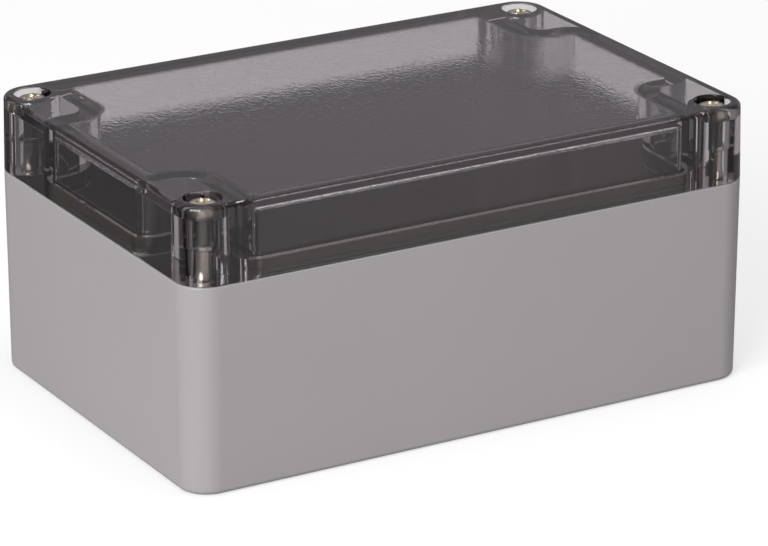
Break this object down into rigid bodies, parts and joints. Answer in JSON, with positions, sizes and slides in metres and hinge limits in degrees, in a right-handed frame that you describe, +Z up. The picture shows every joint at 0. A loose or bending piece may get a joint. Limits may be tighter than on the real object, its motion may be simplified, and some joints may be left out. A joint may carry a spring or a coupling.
{
  "type": "sealed electronics enclosure",
  "caption": "Rectangular sealed enclosure with an opaque drafted base and a smoked see-through lid, held by captive corner screws outside a sealing strip.",
  "frame": {"origin": "centre of the flat underside", "axes": "+X along the long side, +Z up through the lid, the long front wall faces -Y"},
  "size_m": [0.12, 0.08, 0.055],
  "materials": {
    "grey_polycarbonate": "light grey, fine satin moulding texture",
    "smoked_polycarbonate": "smoke grey, see-through, polished",
    "seal_rubber": "pinkish beige, dull",
    "screw_steel": "nickel plated, warm",
    "ring_steel": "bright spring steel",
    "insert_brass": "turned brass"
  },
  "bodies": {
    "base": {"base": "grey_polycarbonate", "insert_front_left": "insert_brass", "insert_front_right": "insert_brass", "insert_back_left": "insert_brass", "insert_back_right": "insert_brass"},
    "lid": {"lid": "smoked_polycarbonate", "gasket": "seal_rubber"},
    "ring_front_left": {"retaining_ring_front_left": "ring_steel"},
    "screw_front_left": {"screw_front_left": "screw_steel"},
    "ring_front_right": {"retaining_ring_front_right": "ring_steel"},
    "screw_front_right": {"screw_front_right": "screw_steel"},
    "ring_back_left": {"retaining_ring_back_left": "ring_steel"},
    "screw_back_left": {"screw_back_left": "screw_steel"},
    "ring_back_right": {"retaining_ring_back_right": "ring_steel"},
    "screw_back_right": {"screw_back_right": "screw_steel"}
  },
  "joints": [
    {"name": "lid_lift", "type": "slide", "parent": "base", "child": "lid", "axis": [0, 0, 1], "range_m": [0, 0.04]},
    {"name": "screw_rise_front_left", "type": "slide", "parent": "lid", "child": "ring_front_left", "axis": [0, 0, 1], "range_m": [0, 0.005]},
    {"name": "screw_turn_front_left", "type": "hinge", "parent": "ring_front_left", "child": "screw_front_left", "pos_m": [-0.0542, -0.0342, 0.054], "axis": [0, 0, 1], "range_deg": [0, 3600]},
    {"name": "screw_rise_front_right", "type": "slide", "parent": "lid", "child": "ring_front_right", "axis": [0, 0, 1], "range_m": [0, 0.005]},
    {"name": "screw_turn_front_right", "type": "hinge", "parent": "ring_front_right", "child": "screw_front_right", "pos_m": [0.0542, -0.0342, 0.054], "axis": [0, 0, 1], "range_deg": [0, 3600]},
    {"name": "screw_rise_back_left", "type": "slide", "parent": "lid", "child": "ring_back_left", "axis": [0, 0, 1], "range_m": [0, 0.005]},
    {"name": "screw_turn_back_left", "type": "hinge", "parent": "ring_back_left", "child": "screw_back_left", "pos_m": [-0.0542, 0.0342, 0.054], "axis": [0, 0, 1], "range_deg": [0, 3600]},
    {"name": "screw_rise_back_right", "type": "slide", "parent": "lid", "child": "ring_back_right", "axis": [0, 0, 1], "range_m": [0, 0.005]},
    {"name": "screw_turn_back_right", "type": "hinge", "parent": "ring_back_right", "child": "screw_back_right", "pos_m": [0.0542, 0.0342, 0.054], "axis": [0, 0, 1], "range_deg": [0, 3600]}
  ],
  "couplings": [
    {"joint": "screw_turn_front_left", "follows": "screw_rise_front_left", "rad_per_m": 12566},
    {"joint": "screw_turn_front_right", "follows": "screw_rise_front_right", "rad_per_m": 12566},
    {"joint": "screw_turn_back_left", "follows": "screw_rise_back_left", "rad_per_m": 12566},
    {"joint": "screw_turn_back_right", "follows": "screw_rise_back_right", "rad_per_m": 12566}
  ]
}
